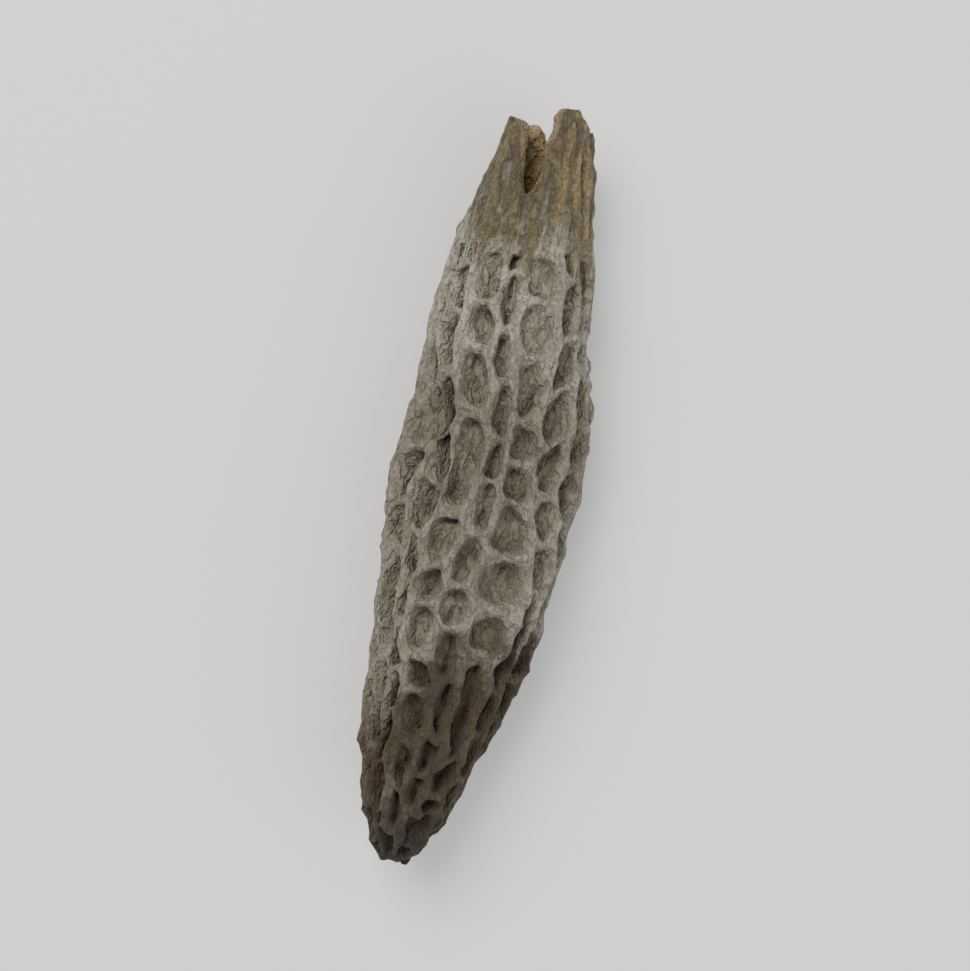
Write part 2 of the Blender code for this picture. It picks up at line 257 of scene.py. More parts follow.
# %% [markdown]
# ## The lattice under the net
#
# The net starts as a lattice: rings of points grown one from the next, from a small disc at the tip
# to the cap's lower edge. Extruding a ring's edges is what a modeller does with the E key. Each
# point sways a little, and all the chance comes from seeded generators, so every run is alike.

# %% Where the lattice's points are
SEED = 122
RIBS = 16
RINGS = 26
FIRST_RING = 0.25 * MM
RING_SPREAD = 1.15
RIB_SWAY = 0.22
RIB_SPREAD = 0.20
RIB_TWIST = 14
RING_SWAY = 0.34
STAGGER = 0.15
# How far the whole net sways round the cap and along it, and over what distances
RIB_WANDER = 13
RING_WANDER = 1.1 * MM
WANDER_ROUND = 1.4
WANDER_LENGTH = 5.5 * MM
OTHER_SLICE = 20
RUNG_DROP = 0.26 * MM
BASE_DROP = 0.32 * MM
# The net is calmer over this many rings nearest the tip, and its last ring keeps this much lift
CALM_RINGS = 6
LAST_LIFT = 0.3
CAP_EDGE_SWAY = 1.5 * MM
CAP_EDGE_WAVES = 1.5
CAP_EDGE_SLICE = 0.5


def round_noise(theta, waves, along):
    """Smooth noise from -1 to 1 that closes on itself round the mushroom."""
    return noise.noise(Vector((waves * math.cos(theta), waves * math.sin(theta), along)))


def cap_end(theta):
    """How far from the tip the cap's wavy lower edge is."""
    return CAP_LENGTH - CAP_EDGE_SWAY * abs(round_noise(theta, CAP_EDGE_WAVES, CAP_EDGE_SLICE))


def cap_net():
    """Places of the lattice: for each ring its points, two to a rib, alternately on it and beside it."""
    draw = random.Random(SEED)
    columns = 2 * RIBS
    shifts = [2 * draw.uniform(-1, 1) * RIB_SPREAD for _ in range(RIBS)]
    step = (CAP_LENGTH - FIRST_RING) / RINGS
    rings = []
    for k in range(RINGS + 1):
        share = k / RINGS
        keep = min(1.0, (k + 1) / CALM_RINGS)
        ring = []
        for i in range(columns):
            sway = draw.uniform(-1, 1) * RIB_SWAY + (shifts[i // 2] + shifts[(i + 1) // 2 % RIBS]) / 2
            lift = draw.uniform(-1, 1) * RING_SWAY * step
            if i % 2 == 0:
                sway += STAGGER if (k + i // 2) % 2 == 0 else -STAGGER
            if k == RINGS:
                lift *= LAST_LIFT
            theta = 2 * math.pi * (i + sway * keep) / columns + math.radians(RIB_TWIST) * share
            level = FIRST_RING + (cap_end(theta) - FIRST_RING) * share**RING_SPREAD
            inside = keep * min(1.0, (RINGS - k) / CALM_RINGS)
            along = round_noise(theta, WANDER_ROUND, level / WANDER_LENGTH + OTHER_SLICE)
            level += lift * keep + RING_WANDER * inside * along
            around = round_noise(theta, WANDER_ROUND, level / WANDER_LENGTH)
            theta += math.radians(RIB_WANDER) * inside * around
            place = on_form(max(level, FIRST_RING / 2), theta)
            if i % 2 == 1:
                place += inward(place) * (BASE_DROP if k == RINGS else RUNG_DROP * keep)
            ring.append(place)
        rings.append(ring)
    return rings


# %% Grow the lattice
def grow_ring(bm, ring, places):
    """Extrudes a closed ring of vertices to new places, and returns the new ring in the same order."""
    edges = [bm.edges.get(pair) for pair in zip(ring, ring[1:] + ring[:1])]
    made = bmesh.ops.extrude_edge_only(bm, edges=edges)["geom"]
    copies = {item.co.to_tuple(): item for item in made if isinstance(item, bmesh.types.BMVert)}
    grown = [copies[vertex.co.to_tuple()] for vertex in ring]
    for vertex, place in zip(grown, places):
        vertex.co = place
    return grown


def lattice(bm):
    """Grows the cap's rings from a small disc at the tip. Returns them, and the disc's face."""
    places = cap_net()
    circle = bmesh.ops.create_circle(bm, cap_ends=True, segments=2 * RIBS, radius=FIRST_RING)
    rings = [circle["verts"]]
    for vertex, place in zip(rings[0], places[0]):
        vertex.co = place
    for ring in places[1:]:
        rings.append(grow_ring(bm, rings[-1], ring))
    (tip,) = [face for face in bm.faces if len(face.verts) == 2 * RIBS]
    return rings, tip


# %% [markdown]
# ## From lattice to net
#
# Most of the lattice's edges aren't ridges. Dissolving an edge joins the two faces beside it, so
# what is left is one face for each pit, with its corners and the bends of its sides. Every second
# rib stops short of the tip, where there is no room for it, and here and there a rung is missing,
# which makes one long pit of two. That is how a real cap looks: regular from afar, never up close.

# %% Dissolve what isn't a rib or a rung
MISSING_RUNGS = 0.07
SHORT_RIBS_END = 2
# No rung is missing this near to a rib's end, nor this near to the last missing one
RUNGS_AT_END = 2
RUNGS_BETWEEN = 4


def open_pits(bm, rings):
    """Joins the lattice's quads into pits, by dissolving what is not a rib or a rung."""
    draw = random.Random(SEED + 1)
    columns = 2 * RIBS
    ends = [SHORT_RIBS_END + draw.randrange(2) for _ in range(RIBS // 2)]
    gone = []
    for k in range(RINGS):
        for column in range(RIBS):
            gone.append((rings[k][2 * column + 1], rings[k + 1][2 * column + 1]))
            if column % 2 == 1 and k < ends[column // 2]:
                gone.append((rings[k][2 * column], rings[k + 1][2 * column]))
    for column in range(RIBS):
        short = column if column % 2 == 1 else column + 1
        end = ends[short // 2]
        last_open = 0
        for k in range(1, RINGS):
            if k < end:
                stays = (end - k) % 2 == 0
            else:
                stays = k == end or (k + column) % 2 == 0
            may_open = stays and k > end + RUNGS_AT_END and k - last_open > RUNGS_BETWEEN
            if may_open and draw.random() < MISSING_RUNGS:
                last_open = k
                stays = False
            if not stays:
                middle = rings[k][2 * column + 1]
                gone.append((rings[k][2 * column], middle))
                gone.append((middle, rings[k][(2 * column + 2) % columns]))
    edges = [bm.edges.get(pair) for pair in gone]
    bmesh.ops.dissolve_edges(bm, edges=edges, use_verts=False, use_face_split=False)


# %% [markdown]
# ## Sinking the pits
#
# Each face becomes a pit in three moves. Its outline is scaled down in the pit's own frame, which
# leaves half of a ridge round it, and goes down a little: the ridge's shoulder. It is scaled down
# again and pushed deep: the wall. Then the floor is poked, so that its middle is the lowest point.
#
# A number is written on every vertex on the way, 1 on a crest and 0 on a floor. The material reads
# it later as an attribute, to bleach the crests and darken the pits wherever they are.

# %% Sink every pit
CREST_SWAY = 0.22 * MM
SHOULDER_DROP = 0.13 * MM
WALL_RUN = 0.19 * MM
FLOOR_DIP = 0.12 * MM
# The most that a step takes of a pit's half size, a shoulder or wall of its width, and a wall of
# the cap's half width
STEP_LIMIT = 0.32
SHOULDER_LIMIT = 0.12
DEPTH_LIMIT = 0.75
ROOM_LIMIT = 0.35
# How far ridges and pits differ in width and depth, and over what distances
UNEVEN_WIDTH = 0.5
UNEVEN_DEPTH = 0.3
UNEVEN_FLOOR = 0.2
UNEVEN_LENGTH = 2.3 * MM
CREST_LENGTH = 1.7 * MM
CALM_LENGTH = 8 * MM
FLOOR_LENGTH = 1.1 * MM
# The pits run out towards the stem, over this distance and down to this share of their depth
RUN_OUT = 3.5 * MM
RUN_OUT_TO = 0.45
ROUNDING = 0.5
OVAL_REACH = 0.8
CREST, SHOULDER, WALL_FOOT, FLOOR = 1.0, 0.84, 0.12, 0.0
CREST_CREASE = 0.8


def pit_frame(pit):
    """A frame at the pit's middle (x across, y along, z inward) and half of its size in x and y."""
    centre = pit.calc_center_median()
    down = inward(centre)
    across = Vector((0, 1, 0)).cross(down).normalized()
    frame = Matrix((across, down.cross(across), down)).transposed().to_4x4()
    frame.translation = centre
    places = [frame.inverted() @ vertex.co for vertex in pit.verts]
    lows = [min(place[axis] for place in places) for axis in (0, 1)]
    highs = [max(place[axis] for place in places) for axis in (0, 1)]
    half = [(high - low) / 2 for low, high in zip(lows, highs)]
    frame.translation = frame @ Vector(((lows[0] + highs[0]) / 2, (lows[1] + highs[1]) / 2, 0))
    return frame, half


def step_in(bm, pit, frame, half, width):
    """Insets the pit: its outline is scaled down in its own frame, which leaves a rim of the width."""
    bmesh.ops.inset_individual(bm, faces=[pit], thickness=0.0)
    scale = [1 - min(width / side, STEP_LIMIT) for side in half]
    bmesh.ops.scale(bm, vec=(*scale, 1), space=frame.inverted(), verts=pit.verts)


def sink_pits(bm, tip, rise, crease):
    """Leaves the ridges between the pits standing, and sinks a shoulder, a wall and a floor in each."""
    pits = [face for face in bm.faces if face != tip]
    for vertex in {v for face in pits for v in face.verts}:
        calm = min(1.0, vertex.co.y / CALM_LENGTH)
        vertex.co += inward(vertex.co) * CREST_SWAY * calm * noise.noise(vertex.co / CREST_LENGTH)
        vertex[rise] = CREST
    for edge in bm.edges:
        edge[crease] = CREST_CREASE
    for pit in pits:
        frame, half = pit_frame(pit)
        span = 2 * min(half)
        uneven = noise.noise(frame.translation / UNEVEN_LENGTH)
        step_in(bm, pit, frame, half, RIDGE_WIDTH / 2 * (1 + UNEVEN_WIDTH * uneven))
        for vertex in pit.verts:
            place = frame.inverted() @ vertex.co
            reach = math.hypot(place.x / half[0], place.y / half[1])
            pull = (max(reach, OVAL_REACH) / OVAL_REACH) ** -ROUNDING
            vertex.co = frame @ Vector((place.x * pull, place.y * pull, place.z))
            vertex.co += inward(vertex.co) * min(SHOULDER_DROP, SHOULDER_LIMIT * span)
            vertex[rise] = SHOULDER
        room = section(frame.translation.y)[1]
        depth = min(PIT_DEPTH, DEPTH_LIMIT * span, ROOM_LIMIT * room) * (1 + UNEVEN_DEPTH * uneven)
        step_in(bm, pit, frame, half, WALL_RUN)
        for vertex in pit.verts:
            share = 1 - (1 - RUN_OUT_TO) * bump(vertex.co.y - CAP_LENGTH, RUN_OUT)
            share *= 1 - UNEVEN_FLOOR * (1 - noise.noise(vertex.co / FLOOR_LENGTH))
            vertex.co += inward(vertex.co) * depth * share
            vertex[rise] = WALL_FOOT
    made = bmesh.ops.poke(bm, faces=pits)
    for vertex in made["verts"]:
        vertex.co += inward(vertex.co) * FLOOR_DIP
        vertex[rise] = FLOOR
    for vertex in bm.verts:
        vertex.co = dried(vertex.co)
    print("sunk", len(pits), "pits")


# %% [markdown]
# ## The stem
#
# The stem is a furrowed tube, torn open at its end: two horns stand up and a notch between them
# shows the hollow. It grows from the cap's last ring by the same extrusion, turns in over the torn
# rim, and runs back as the wall of the hollow to its blind end inside the cap.

# %% Grow the stem and the hollow
STEM_RINGS = 6
LIP_STEP = 0.45 * MM
FURROW_DEPTH = 0.38 * MM
FURROW_FADE = 0.4
FURROW_WANDER = 5
FURROW_LENGTH = 9 * MM
STEM_LUMPS = 0.25 * MM
STEM_LUMP_LENGTH = 4 * MM
HOLLOW_FLATNESS = 0.72
HOLLOW_END = 9.0 * MM
HOLLOW_RINGS = 7
HOLLOW_SPREAD = 1.5
# How thick the torn rim is, as a share of the hollow's length, and how much the hollow dried in
RIM_STEP = 0.004
HOLLOW_DRIED = 0.5
HOLLOW_HALF_WIDTHS = (
    (9.0 * MM, 0.45 * MM),
    (12.0 * MM, 1.45 * MM),
    (20.0 * MM, 1.75 * MM),
    (29.4 * MM, 1.70 * MM),
    (35.7 * MM, 1.70 * MM),
)
# Where the torn end is shorter than the whole length: angle round the stem in degrees, 90 on top
RIM_DROPS = (
    (0, 0.9 * MM),
    (20, 0.4 * MM),
    (38, 0.0 * MM),
    (55, 0.05 * MM),
    (70, 0.8 * MM),
    (90, 4.1 * MM),
    (104, 4.2 * MM),
    (129, 1.3 * MM),
    (150, 0.95 * MM),
    (180, 1.3 * MM),
    (215, 1.7 * MM),
    (250, 0.9 * MM),
    (285, 1.6 * MM),
    (325, 0.7 * MM),
    (360, 0.9 * MM),
)


def torn_end(theta):
    """How far from the tip the torn rim is."""
    return LENGTH - curve_through(RIM_DROPS, math.degrees(theta) % 360)


def stem_point(share, theta):
    """A point of the stem's skin, share of the way to its end. The furrows go on from the cap's ribs."""
    start = cap_end(theta) + LIP_STEP
    t = start + (torn_end(theta) - start) * share
    half_width, half_height = section(max(t, CAP_LENGTH + SMALL_STEP))[1:]
    wander = FURROW_WANDER * share * round_noise(theta, 1, t / FURROW_LENGTH)
    furrow = (0.5 - 0.5 * math.cos(RIBS * (theta - math.radians(RIB_TWIST)) + wander)) ** 2
    out = STEM_LUMPS * round_noise(theta, 2, t / STEM_LUMP_LENGTH)
    out -= FURROW_DEPTH * (1 - FURROW_FADE * share) * furrow
    return dried(on_oval(t, theta, half_width + out, half_height + out))


def hollow_point(share, theta):
    """A point of the hollow's wall, share of the way from the torn end to its blind end."""
    rim = torn_end(theta)
    t = rim + (HOLLOW_END - rim) * share
    half_width = curve_through(HOLLOW_HALF_WIDTHS, t)
    if t > CAP_LENGTH:
        half_width = min(half_width, section(t)[1] - STEM_WALL)
    return dried(on_oval(t, theta, half_width, half_width * HOLLOW_FLATNESS), HOLLOW_DRIED)


def open_rim(bm, first, towards):
    """The open rim's vertices in order, from the one at first by way of the one at towards."""
    rim = {vertex for edge in bm.edges if edge.is_boundary for vertex in edge.verts}
    ring = [min(rim, key=lambda vertex: (vertex.co - place).length) for place in (first, towards)]
    while len(ring) < len(rim):
        beside = [edge.other_vert(ring[-1]) for edge in ring[-1].link_edges if edge.is_boundary]
        ring.append(beside[1] if beside[0] == ring[-2] else beside[0])
    return ring


def add_stem(bm, base, hollow):
    """Grows the stem from the cap's last ring, turns in at the torn rim, and runs the hollow back."""
    first, towards = base[0].co.copy(), base[0].co.lerp(base[1].co, 0.5)
    around = [bm.edges.get(pair) for pair in zip(base, base[1:] + base[:1])]
    bmesh.ops.subdivide_edges(bm, edges=around, cuts=1)
    ring = open_rim(bm, first, towards)
    angles = [math.radians(RIB_TWIST) + 2 * math.pi * i / len(ring) for i in range(len(ring))]
    for k in range(STEM_RINGS + 1):
        ring = grow_ring(bm, ring, [stem_point(k / STEM_RINGS, a) for a in angles])
    for k in range(HOLLOW_RINGS + 1):
        share = RIM_STEP + (1 - RIM_STEP) * (k / HOLLOW_RINGS) ** HOLLOW_SPREAD
        ring = grow_ring(bm, ring, [hollow_point(share, a) for a in angles])
        for vertex in ring:
            vertex[hollow] = 1.0
    bmesh.ops.contextual_create(bm, geom=[bm.edges.get(pair) for pair in zip(ring, ring[1:] + ring[:1])])


# %% [markdown]
# ## Laying it down
#
# The mushroom dried on its side, so the lowest millimetre and a half is pressed flatter. The whole
# body is then centred and lowered until its lowest ridges are just under the table.

# %% Press and place
PRESSED_BELOW = 1.5 * MM
PRESSED_TO = 0.55
FLAT_CUT = 0.22 * MM


def settle(bm):
    """Centres the body, presses its underside flatter and stands its lowest ridges just under z = 0."""
    lowest = min(vertex.co.z for vertex in bm.verts)
    for vertex in bm.verts:
        height = vertex.co.z - lowest
        if height < PRESSED_BELOW:
            vertex.co.z += (PRESSED_BELOW - height) * (1 - PRESSED_TO)
    lows = [min(vertex.co[axis] for vertex in bm.verts) for axis in range(3)]
    highs = [max(vertex.co[axis] for vertex in bm.verts) for axis in range(3)]
    middle = Vector(((lows[0] + highs[0]) / 2, (lows[1] + highs[1]) / 2, lows[2] + FLAT_CUT))
    bmesh.ops.translate(bm, verts=bm.verts, vec=-middle)


# Where the cap's look starts to turn into the stem's, and over what distance
STEM_LOOK_FROM = CAP_LENGTH - 3.5 * MM
STEM_LOOK_OVER = 5.5 * MM


def coarse_morel():
    """The mushroom's mesh before it is smoothed, with what the material needs on its vertices."""
    bm = bmesh.new()
    rise = bm.verts.layers.float.new("rise")
    stem = bm.verts.layers.float.new("stem")
    hollow = bm.verts.layers.float.new("hollow")
    beside = bm.verts.layers.float.new("beside_crease")
    from_tip = bm.verts.layers.float.new("from_tip")
    crease = bm.edges.layers.float.new("crease_edge")
    rings, tip = lattice(bm)
    open_pits(bm, rings)
    base = rings[-1]
    sink_pits(bm, tip, rise, crease)
    bmesh.ops.poke(bm, faces=[tip])
    add_stem(bm, base, hollow)
    for vertex in bm.verts:
        vertex[stem] = min(max((vertex.co.y - STEM_LOOK_FROM) / STEM_LOOK_OVER, 0.0), 1.0)
        vertex[beside] = beside_crease(vertex.co)
        vertex[from_tip] = vertex.co.y
    bmesh.ops.recalc_face_normals(bm, faces=bm.faces)
    settle(bm)
    mesh = bpy.data.meshes.new("morel_coarse")
    bm.to_mesh(mesh)
    bm.free()
    return mesh


# %% [markdown]
# ## Smoothing
#
# Subdivision Surface turns the angular net into soft, rounded ridges, as the Catmull-Clark rule pulls
# every new point towards the average of its neighbours. The result is made the mesh itself, because
# the wrinkles of the next cell need its many small faces to move.

# %% Subdivide the coarse mesh
SMOOTH_LEVELS = 2


def smoothed(mesh):
    """A new object whose mesh is the coarse one after Subdivision Surface."""
    coarse = bpy.data.objects.new("coarse", mesh)
    bpy.context.scene.collection.objects.link(coarse)
    rounder = coarse.modifiers.new("rounder", "SUBSURF")
    rounder.levels = SMOOTH_LEVELS
    rounder.render_levels = SMOOTH_LEVELS
    graph = bpy.context.evaluated_depsgraph_get()
    fine = bpy.data.meshes.new_from_object(coarse.evaluated_get(graph))
    bpy.data.objects.remove(coarse)
    fine.name = "morel_skin"
    skin = bpy.data.objects.new("morel_skin", fine)
    bpy.context.scene.collection.objects.link(skin)
    return skin


skin = smoothed(coarse_morel())
print("the skin has", len(skin.data.vertices), "vertices and", len(skin.data.polygons), "faces")

# %% [markdown]
# ## Wrinkles
#
# Dried flesh is wrinkled at every scale. The larger wrinkles are real geometry: each vertex is moved
# a little by noise, sideways to make the crests waver and along its normal for the crinkles. In the
# pits the noise is folded, so that it gives thin raised veins, as the floors of real pits have. The
# long crease gets a sharp line at its bottom, where the skin pinched together.

# %% Move the skin's vertices
WAVER = 0.22 * MM
WAVER_LENGTH = 1.1 * MM
WAVER_SEED = 5
STEM_STEADIER = 0.6
CRINKLE = 0.11 * MM
CRINKLE_LENGTH = 0.6 * MM
# How fast the crinkles' finer layers fade, how much finer each is, and how many there are
CRINKLE_LAYERS = (0.7, 2.1, 3)
KEEN_FROM = 0.8
KEEN = 0.09 * MM
PLEAT = 0.10 * MM
PLEAT_ACROSS = 0.42 * MM
PLEAT_ALONG = 2.6 * MM
VEIN = 0.24 * MM
VEIN_LENGTH = 1.1 * MM
VEIN_THINNESS = 3
VEIN_SLICE = Vector((7, 3, 5))
# Veins are full on a floor and gone where a vertex's rise is one over this
VEIN_FADE = 1.6
PINCH = 0.38 * MM
PINCH_SPREAD = 9


def wrinkle(skin):
    """Moves every vertex: the crests waver, the skin crinkles, veins rise and the crease pinches."""
    mesh = skin.data
    veins = mesh.attributes.new("vein", "FLOAT", "POINT").data
    pinches = mesh.attributes.new("pinch", "FLOAT", "POINT").data
    names = ("rise", "stem", "hollow", "beside_crease", "from_tip")
    marks = zip(*[[item.value for item in mesh.attributes[name].data] for name in names])
    normals = [vertex.normal.copy() for vertex in mesh.vertices]
    # Blender's noise vectors change with every run unless they are seeded
    noise.seed_set(WAVER_SEED)
    _, _, crease_middle, crease_reach, _, _ = HOLLOWED[0]
    for vertex, normal, (rise, stem, hollow, beside, from_tip) in zip(mesh.vertices, normals, marks):
        place = vertex.co.copy()
        waver = noise.noise_vector(place / WAVER_LENGTH) * WAVER * (1 - STEM_STEADIER * stem)
        crinkle = noise.fractal(place / CRINKLE_LENGTH, *CRINKLE_LAYERS) * CRINKLE
        across = Vector((place.x / PLEAT_ACROSS, place.y / PLEAT_ALONG, place.z / PLEAT_ACROSS))
        pleat = noise.noise(across) * PLEAT
        folded = max(1 - VEIN_THINNESS * abs(noise.noise(place / VEIN_LENGTH + VEIN_SLICE)), 0.0)
        in_pit = max(0.0, 1 - VEIN_FADE * rise) * (1 - stem) * (1 - hollow)
        vein = VEIN * folded**2 * in_pit
        keen = KEEN * max(0.0, rise - KEEN_FROM) / (1 - KEEN_FROM)
        pinch = bump(beside, PINCH_SPREAD) * bump(from_tip - crease_middle, crease_reach) * (1 - hollow)
        vertex.co = place + waver + normal * (crinkle + pleat + vein + keen - PINCH * pinch)
        pinches[vertex.index].value = pinch
        veins[vertex.index].value = folded * in_pit
    for vertex in mesh.vertices:
        vertex.co.z = max(vertex.co.z, 0.0)
    mesh.shade_smooth()
    mesh.update()


wrinkle(skin)
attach(skin, "root")
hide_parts("morel")

# %% [markdown]
# ## The skin's material
#
# One material covers the whole skin, because it is one piece of flesh. The attributes that were
# written on the vertices say how high a point is, whether it is on the stem or in the hollow, and
# how near it is to a vein or to the pinched crease. The noise reads Object coordinates, in metres, so
# its scale is one over the size of a patch.

# %% Small helpers for node trees
class Nodes:
    """Adds nodes to a material and joins them, from left to right."""

    def __init__(self, name):
        self.material = bpy.data.materials.new(name)
        self.material.use_nodes = True
        self.tree = self.material.node_tree
        self.shader = self.tree.nodes["Principled BSDF"]
        self.place = self.add("ShaderNodeTexCoord").outputs["Object"]

    def add(self, kind, **settings):
        node = self.tree.nodes.new(kind)
        for name, value in settings.items():
            setattr(node, name, value)
        return node

    def join(self, source, target):
        self.tree.links.new(source, target)

    def attribute(self, name):
        return self.add("ShaderNodeAttribute", attribute_name=name).outputs["Fac"]

    def cloud(self, size, detail=3.0, stretch=(1, 1, 1)):
        """Noise with patches of this size in metres, longer along an axis where stretch is over 1."""
        turn = self.add("ShaderNodeMapping")
        turn.inputs["Scale"].default_value = [1 / (size * s) for s in stretch]
        self.join(self.place, turn.inputs["Vector"])
        cloud = self.add("ShaderNodeTexNoise")
        cloud.inputs["Scale"].default_value = 1.0
        cloud.inputs["Detail"].default_value = detail
        self.join(turn.outputs["Vector"], cloud.inputs["Vector"])
        return cloud.outputs["Fac"]

    def ramp(self, value, low, high, to_low=0.0, to_high=1.0):
        """Maps low to high of a value onto to_low to to_high, smoothly and no further."""
        node = self.add("ShaderNodeMapRange", interpolation_type="SMOOTHSTEP")
        for name, number in zip(("From Min", "From Max", "To Min", "To Max"), (low, high, to_low, to_high)):
            node.inputs[name].default_value = number
        self.join(value, node.inputs["Value"])
        return node.outputs["Result"]

    def maths(self, operation, a, b):
        node = self.add("ShaderNodeMath", operation=operation)
        for socket, value in zip(node.inputs, (a, b)):
            if isinstance(value, float):
                socket.default_value = value
            else:
                self.join(value, socket)
        return node.outputs["Value"]

    def blend(self, share, first, second):
        """A colour between two, which are colours or the outputs of other nodes."""
        node = self.add("ShaderNodeMix", data_type="RGBA")
        self.join(share, node.inputs["Factor"])
        for name, value in (("A", first), ("B", second)):
            socket = [s for s in node.inputs if s.name == name and s.type == "RGBA"][0]
            if isinstance(value, tuple):
                socket.default_value = value
            else:
                self.join(value, socket)
        return [s for s in node.outputs if s.type == "RGBA"][0]


def colour(red, green, blue):
    """A linear colour from its 0 to 255 screen values."""
    linear = []
    for value in (red, green, blue):
        c = value / 255
        linear.append(c / 12.92 if c <= 0.04045 else ((c + 0.055) / 1.055) ** 2.4)
    return (*linear, 1.0)


# %% What the skin's colours share
PATCH_SIZE = 5 * MM
MOTTLE_SIZE = 1.1 * MM
FIBRE_SIZE = 0.5 * MM


class Skin(Nodes):
    """The skin's nodes, with the attributes, the noises and the directions that its colours share."""

    def __init__(self, name):
        super().__init__(name)
        self.stem = self.attribute("stem")
        self.patches = self.cloud(PATCH_SIZE, 2.0)
        self.mottle = self.cloud(MOTTLE_SIZE, 4.0)
        self.fibres = self.cloud(FIBRE_SIZE, 4.0, stretch=(1, 9, 1))
        split = self.add("ShaderNodeSeparateXYZ")
        self.join(self.place, split.inputs["Vector"])
        self.to_right = split.outputs["X"]
        self.along = split.outputs["Y"]
        veins = self.maths("MULTIPLY", self.attribute("vein"), 0.45)
        raised = self.maths("ADD", self.attribute("rise"), veins)
        self.height = self.maths("ADD", raised, self.ramp(self.mottle, 0.3, 0.7, -0.2, 0.2))


# %% [markdown]
# ## The cap's and the stem's colours
#
# The pits keep the flesh's brown, and the crests are paler because they were rubbed. Near the stem a
# painted grey glare lies over all, most on the left, and the cap's middle is a little browner. The
# tip stayed brown. Each of these is one more blend over the last one, so that any of them can be
# tuned alone.

# %% The cap's colour
PIT_BROWN = colour(112, 105, 89)
PIT_DARK = colour(94, 87, 72)
CREST_GREY = colour(124, 119, 106)
CREST_TAN = colour(113, 106, 91)
# Painted glare: a pale grey that stands for light reflected over the cap near the stem
PAINTED_GLARE = colour(155, 149, 132)
# Where along the cap the painted glare begins and is full, and where the browner band is
PAINTED_GLARE_FROM, PAINTED_GLARE_TO = 3 * MM, 8 * MM
BAND_MIDDLE, BAND_REACH = 1.8 * MM, 3.2 * MM


def cap_colour(n):
    """Pale crests over darker pits, with a painted glare towards the stem and a browner band in the middle.
    """
    pit = n.blend(n.ramp(n.mottle, 0.35, 0.65), PIT_DARK, PIT_BROWN)
    crest = n.blend(n.ramp(n.patches, 0.38, 0.62), CREST_TAN, CREST_GREY)
    cap = n.blend(n.ramp(n.height, 0.3, 1.05), pit, crest)
    # Painted glare, strongest towards the stem, on the crests and on the left
    glare = n.ramp(n.along, PAINTED_GLARE_FROM, PAINTED_GLARE_TO)
    glare = n.maths("MULTIPLY", glare, n.ramp(n.patches, 0.35, 0.6, 0.1, 0.5))
    glare = n.maths("MULTIPLY", glare, n.ramp(n.height, 0.2, 1.0, 0.5, 1.0))
    glare = n.maths("MULTIPLY", glare, n.ramp(n.to_right, -1 * MM, 3 * MM, 1.5, 0.6))
    cap = n.blend(glare, cap, PAINTED_GLARE)
    from_band = n.maths("ABSOLUTE", n.maths("SUBTRACT", n.along, BAND_MIDDLE), 0.0)
    band = n.maths("MULTIPLY", n.ramp(from_band, BAND_REACH, 0.0), n.ramp(n.mottle, 0.3, 0.7, 0.2, 0.8))
    return n.blend(band, cap, PIT_DARK)


# %% The brown tip
TIP_PIT = colour(58, 47, 27)
TIP_CREST = colour(57, 46, 26)
TIP_END = colour(28, 21, 12)
# Where the brown begins and is full, how much nearer to the end that is on the left, and where the
# tip is darkest
TIP_FROM, TIP_TO = -5 * MM, -10 * MM
BROWN_LOWER_LEFT = 3.5 * MM
END_FROM, END_TO = -14 * MM, -17.5 * MM


def with_brown_tip(n, cap):
    """The cap's colour with its brown tip, which begins raggedly and is darkest at its end."""
    tip = n.blend(n.ramp(n.height, 0.2, 1.05), TIP_PIT, TIP_CREST)
    tip = n.blend(n.ramp(n.along, END_FROM, END_TO, 0.0, 0.8), tip, TIP_END)
    ragged = n.maths("ADD", n.ramp(n.mottle, 0.3, 0.7, -0.25, 0.25), n.ramp(n.patches, 0.3, 0.7, -0.2, 0.2))
    from_brown = n.maths("ADD", n.along, n.ramp(n.to_right, -3 * MM, 0.0, BROWN_LOWER_LEFT, 0.0))
    to_tip = n.maths("ADD", n.ramp(from_brown, TIP_FROM, TIP_TO), ragged)
    return n.blend(n.ramp(to_tip, 0.0, 1.0), cap, tip)


# %% The stem and the hollow
STEM_TAN = colour(89, 79, 54)
STEM_DARK = colour(61, 51, 33)
STEM_STRAW = colour(115, 100, 67)
HOLLOW_BROWN = colour(140, 120, 82)
# Where the right side of the stem turns to the colour of straw
STRAW_FROM, STRAW_TO = 10 * MM, 14 * MM


def with_stem(n, cap):
    """The cap's colour with the tan stem, streaked along its fibres, and the brown hollow."""
    straw = n.maths("MULTIPLY", n.ramp(n.to_right, 0.0, 1.2 * MM), n.ramp(n.along, STRAW_FROM, STRAW_TO))
    pale = n.blend(straw, STEM_TAN, STEM_STRAW)
    stem_skin = n.blend(n.ramp(n.fibres, 0.38, 0.62), STEM_DARK, pale)
    stem_share = n.ramp(n.maths("ADD", n.stem, n.ramp(n.fibres, 0.3, 0.7, -0.35, 0.35)), 0.2, 0.95)
    both = n.blend(stem_share, cap, stem_skin)
    return n.blend(n.attribute("hollow"), both, HOLLOW_BROWN)


# %% Painted shade in cracks and in the crease, soil and grain
# Painted shade in the cracks and in the pinched crease, and the colour of the soil specks
SOIL_AND_SHADE = colour(46, 38, 30)
SPECK_SIZE = 0.16 * MM
GRAIN_SIZE = 0.22 * MM


